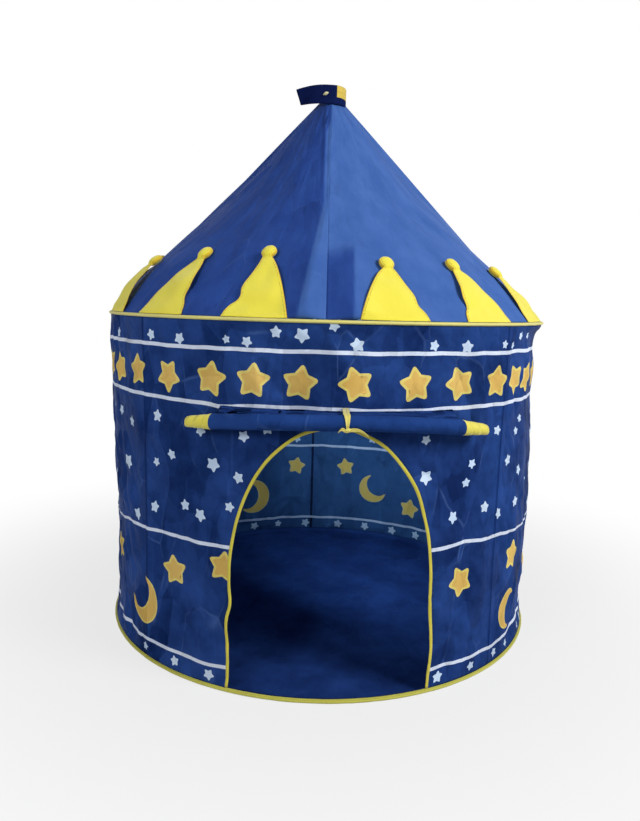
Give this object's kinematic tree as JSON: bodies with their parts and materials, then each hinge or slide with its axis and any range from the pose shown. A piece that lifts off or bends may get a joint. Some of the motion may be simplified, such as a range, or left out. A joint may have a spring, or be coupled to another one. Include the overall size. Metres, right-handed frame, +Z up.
{
  "type": "kids play tent",
  "caption": "Round pop-up play tent with a star-printed wall, cone roof, crown points, arched doorway and roll-up door.",
  "frame": {"origin": "on the ground at the tent's axis, on the groundsheet's underside", "axes": "+Z up along the tent's axis, -Y towards the side with the doorway, +X to the right of someone who faces the doorway"},
  "size_m": [1.114, 1.1534, 1.37],
  "materials": {
    "wall_nylon": "woven nylon with printed stars, slight sheen",
    "roof_nylon": "plain woven nylon, slight sheen",
    "floor_nylon": "plain woven nylon, fine creases",
    "flap_nylon": "plain woven nylon",
    "eave_tape": "folded polyester tape, stitched",
    "base_tape": "folded polyester tape, stitched",
    "door_tape": "folded polyester tape, stitched",
    "crown_felt": "soft padded fabric with sewn edges",
    "ribbon": "ribbon and bound hems",
    "pocket_web": "doubled nylon, stitched",
    "spring_steel": "drawn spring wire",
    "pole_plastic": "moulded plastic tube",
    "ferrule_plastic": "moulded plastic sleeve",
    "hub_plastic": "moulded plastic boss"
  },
  "bodies": {
    "base": {"base_hoop": "spring_steel", "base_binding": "base_tape", "groundsheet": "floor_nylon", "wall_front": "wall_nylon", "wall_right": "wall_nylon", "wall_back": "wall_nylon", "wall_left": "wall_nylon", "door_binding": "door_tape", "foot_pocket_front_right": "pocket_web", "foot_pocket_back_right": "pocket_web", "foot_pocket_back_left": "pocket_web", "foot_pocket_front_left": "pocket_web"},
    "canopy": {"eave_hoop": "spring_steel", "eave_binding": "eave_tape", "roof_gore_front_right": "roof_nylon", "roof_gore_back_right": "roof_nylon", "roof_gore_back_left": "roof_nylon", "roof_gore_front_left": "roof_nylon", "roof_rod_front": "pole_plastic", "roof_rod_right": "pole_plastic", "roof_rod_back": "pole_plastic", "roof_rod_left": "pole_plastic", "apex_hub": "hub_plastic", "apex_cap": "roof_nylon", "apex_flag": "flap_nylon", "top_pocket_front_right": "pocket_web", "top_pocket_back_right": "pocket_web", "top_pocket_back_left": "pocket_web", "top_pocket_front_left": "pocket_web"},
    "pole_front_right": {"pole_front_right_lower": "pole_plastic", "pole_front_right_upper": "pole_plastic", "pole_front_right_ferrule": "ferrule_plastic"},
    "pole_back_right": {"pole_back_right_lower": "pole_plastic", "pole_back_right_upper": "pole_plastic", "pole_back_right_ferrule": "ferrule_plastic"},
    "pole_back_left": {"pole_back_left_lower": "pole_plastic", "pole_back_left_upper": "pole_plastic", "pole_back_left_ferrule": "ferrule_plastic"},
    "pole_front_left": {"pole_front_left_lower": "pole_plastic", "pole_front_left_upper": "pole_plastic", "pole_front_left_ferrule": "ferrule_plastic"},
    "door_flap": {"door_flap_strip": "flap_nylon", "door_tie": "ribbon"},
    "door_roll": {"door_roll": "flap_nylon", "door_roll_end_left": "ribbon", "door_roll_end_right": "ribbon"},
    "crown_01": {"crown_point_01": "crown_felt"},
    "crown_02": {"crown_point_02": "crown_felt"},
    "crown_03": {"crown_point_03": "crown_felt"},
    "crown_04": {"crown_point_04": "crown_felt"},
    "crown_05": {"crown_point_05": "crown_felt"},
    "crown_06": {"crown_point_06": "crown_felt"},
    "crown_07": {"crown_point_07": "crown_felt"},
    "crown_08": {"crown_point_08": "crown_felt"},
    "crown_09": {"crown_point_09": "crown_felt"},
    "crown_10": {"crown_point_10": "crown_felt"},
    "crown_11": {"crown_point_11": "crown_felt"},
    "crown_12": {"crown_point_12": "crown_felt"},
    "crown_13": {"crown_point_13": "crown_felt"},
    "crown_14": {"crown_point_14": "crown_felt"}
  },
  "joints": [
    {"name": "canopy_drop", "type": "slide", "parent": "base", "child": "canopy", "axis": [0, 0, 1], "range_m": [-0.66, 0], "deforming": ["wall_front", "wall_right", "wall_back", "wall_left", "door_binding"]},
    {"name": "pole_front_right_fold", "type": "hinge", "parent": "base", "child": "pole_front_right", "pos_m": [0.38113, -0.38113, 0.0073], "axis": [0, -1, 0], "range_deg": [0, 90]},
    {"name": "pole_back_right_fold", "type": "hinge", "parent": "base", "child": "pole_back_right", "pos_m": [0.38113, 0.38113, 0.0073], "axis": [1, 0, 0], "range_deg": [0, 90]},
    {"name": "pole_back_left_fold", "type": "hinge", "parent": "base", "child": "pole_back_left", "pos_m": [-0.38113, 0.38113, 0.0073], "axis": [0, 1, 0], "range_deg": [0, 90]},
    {"name": "pole_front_left_fold", "type": "hinge", "parent": "base", "child": "pole_front_left", "pos_m": [-0.38113, -0.38113, 0.0073], "axis": [-1, 0, 0], "range_deg": [0, 90]},
    {"name": "door_flap_drop", "type": "slide", "parent": "base", "child": "door_flap", "axis": [0, 0, 1], "range_m": [-0.517, 0]},
    {"name": "door_unroll", "type": "slide", "parent": "door_flap", "child": "door_roll", "axis": [0, 0, -1], "range_m": [0, 0.54], "deforming": ["door_flap_strip"]},
    {"name": "crown_01_turn", "type": "hinge", "parent": "canopy", "child": "crown_01", "pos_m": [0.12201, -0.53455, 0.78971], "axis": [0.9749, 0.2225, 0], "range_deg": [0, 125]},
    {"name": "crown_02_turn", "type": "hinge", "parent": "canopy", "child": "crown_02", "pos_m": [0.34186, -0.42868, 0.78971], "axis": [0.7818, 0.6235, 0], "range_deg": [0, 125]},
    {"name": "crown_03_turn", "type": "hinge", "parent": "canopy", "child": "crown_03", "pos_m": [0.494, -0.2379, 0.78971], "axis": [0.4339, 0.901, 0], "range_deg": [0, 125]},
    {"name": "crown_04_turn", "type": "hinge", "parent": "canopy", "child": "crown_04", "pos_m": [0.5483, 0, 0.78971], "axis": [0, 1, 0], "range_deg": [0, 125]},
    {"name": "crown_05_turn", "type": "hinge", "parent": "canopy", "child": "crown_05", "pos_m": [0.494, 0.2379, 0.78971], "axis": [-0.4339, 0.901, 0], "range_deg": [0, 125]},
    {"name": "crown_06_turn", "type": "hinge", "parent": "canopy", "child": "crown_06", "pos_m": [0.34186, 0.42868, 0.78971], "axis": [-0.7818, 0.6235, 0], "range_deg": [0, 125]},
    {"name": "crown_07_turn", "type": "hinge", "parent": "canopy", "child": "crown_07", "pos_m": [0.12201, 0.53455, 0.78971], "axis": [-0.9749, 0.2225, 0], "range_deg": [0, 125]},
    {"name": "crown_08_turn", "type": "hinge", "parent": "canopy", "child": "crown_08", "pos_m": [-0.12201, 0.53455, 0.78971], "axis": [-0.9749, -0.2225, 0], "range_deg": [0, 125]},
    {"name": "crown_09_turn", "type": "hinge", "parent": "canopy", "child": "crown_09", "pos_m": [-0.34186, 0.42868, 0.78971], "axis": [-0.7818, -0.6235, 0], "range_deg": [0, 125]},
    {"name": "crown_10_turn", "type": "hinge", "parent": "canopy", "child": "crown_10", "pos_m": [-0.494, 0.2379, 0.78971], "axis": [-0.4339, -0.901, 0], "range_deg": [0, 125]},
    {"name": "crown_11_turn", "type": "hinge", "parent": "canopy", "child": "crown_11", "pos_m": [-0.5483, 0, 0.78971], "axis": [0, -1, 0], "range_deg": [0, 125]},
    {"name": "crown_12_turn", "type": "hinge", "parent": "canopy", "child": "crown_12", "pos_m": [-0.494, -0.2379, 0.78971], "axis": [0.4339, -0.901, 0], "range_deg": [0, 125]},
    {"name": "crown_13_turn", "type": "hinge", "parent": "canopy", "child": "crown_13", "pos_m": [-0.34186, -0.42868, 0.78971], "axis": [0.7818, -0.6235, 0], "range_deg": [0, 125]},
    {"name": "crown_14_turn", "type": "hinge", "parent": "canopy", "child": "crown_14", "pos_m": [-0.12201, -0.53455, 0.78971], "axis": [0.9749, -0.2225, 0], "range_deg": [0, 125]}
  ],
  "couplings": [
    {"joint": "pole_front_right_fold", "follows": "canopy_drop", "rad_per_m": -2.38},
    {"joint": "pole_back_right_fold", "follows": "canopy_drop", "rad_per_m": -2.38},
    {"joint": "pole_back_left_fold", "follows": "canopy_drop", "rad_per_m": -2.38},
    {"joint": "pole_front_left_fold", "follows": "canopy_drop", "rad_per_m": -2.38},
    {"joint": "door_flap_drop", "follows": "canopy_drop", "ratio": 0.78277}
  ]
}
